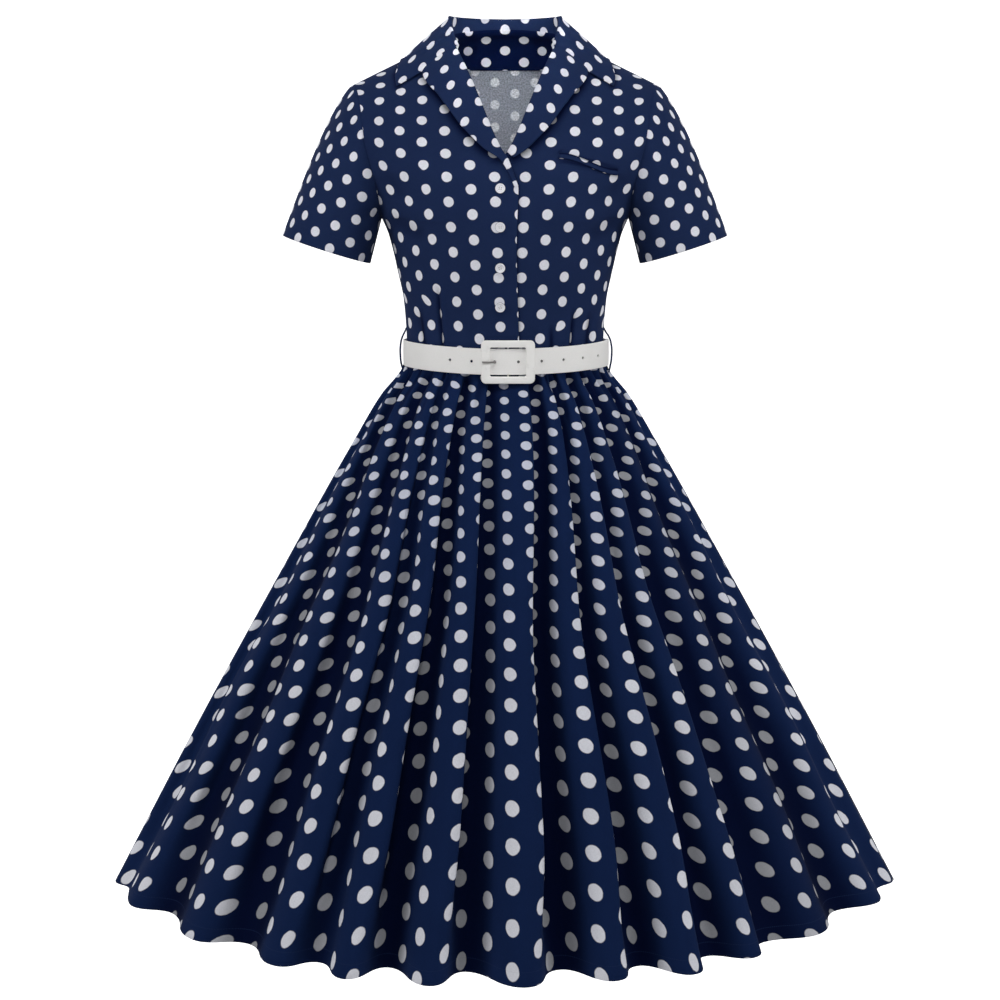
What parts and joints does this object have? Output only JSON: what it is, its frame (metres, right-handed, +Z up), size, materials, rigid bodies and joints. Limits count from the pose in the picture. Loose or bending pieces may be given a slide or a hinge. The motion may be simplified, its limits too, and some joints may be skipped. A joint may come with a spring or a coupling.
{
  "type": "a-line dress",
  "caption": "Knee-length a-line shirt dress, as worn: notched collar, short sleeves, buttoned fitted bodice, full gathered skirt and a buckled belt.",
  "frame": {"origin": "on the line between the two points where the shoulder seams meet the neck, midway between them and just below, where the wearer's shoulders carry the dress", "axes": "+Z up, the front faces -Y, the wearer's left is +X"},
  "size_m": [1.0141, 0.8404, 1.1074],
  "materials": {
    "back": "matt plain-woven cotton, navy with white dots",
    "belt_buckle": "white moulded plastic, satin gloss",
    "belt_loop_left": "matt plain-woven cotton, navy with white dots",
    "belt_loop_right": "matt plain-woven cotton, navy with white dots",
    "belt_prong": "white moulded plastic, satin gloss",
    "belt_strap": "smooth white leather, satin",
    "button_1": "white moulded plastic, satin gloss",
    "button_2": "white moulded plastic, satin gloss",
    "button_3": "white moulded plastic, satin gloss",
    "button_4": "white moulded plastic, satin gloss",
    "collar": "matt plain-woven cotton, navy with white dots",
    "front_left": "matt plain-woven cotton, navy with white dots",
    "front_right": "matt plain-woven cotton, navy with white dots",
    "lapel_left": "matt plain-woven cotton, navy with white dots",
    "lapel_right": "matt plain-woven cotton, navy with white dots",
    "neck_facing": "matt plain-woven cotton, navy with white dots",
    "pocket_welt": "matt plain-woven cotton, navy with white dots",
    "skirt_back": "matt plain-woven cotton, navy with white dots",
    "skirt_front": "matt plain-woven cotton, navy with white dots",
    "sleeve_left": "matt plain-woven cotton, navy with white dots",
    "sleeve_right": "matt plain-woven cotton, navy with white dots"
  },
  "bodies": {
    "root": {"back": "back", "belt_buckle": "belt_buckle", "belt_loop_left": "belt_loop_left", "belt_loop_right": "belt_loop_right", "belt_prong": "belt_prong", "belt_strap": "belt_strap", "button_1": "button_1", "button_2": "button_2", "button_3": "button_3", "button_4": "button_4", "collar": "collar", "front_left": "front_left", "front_right": "front_right", "lapel_left": "lapel_left", "lapel_right": "lapel_right", "neck_facing": "neck_facing", "pocket_welt": "pocket_welt", "skirt_back": "skirt_back", "skirt_front": "skirt_front", "sleeve_left": "sleeve_left", "sleeve_right": "sleeve_right"}
  },
  "joints": []
}
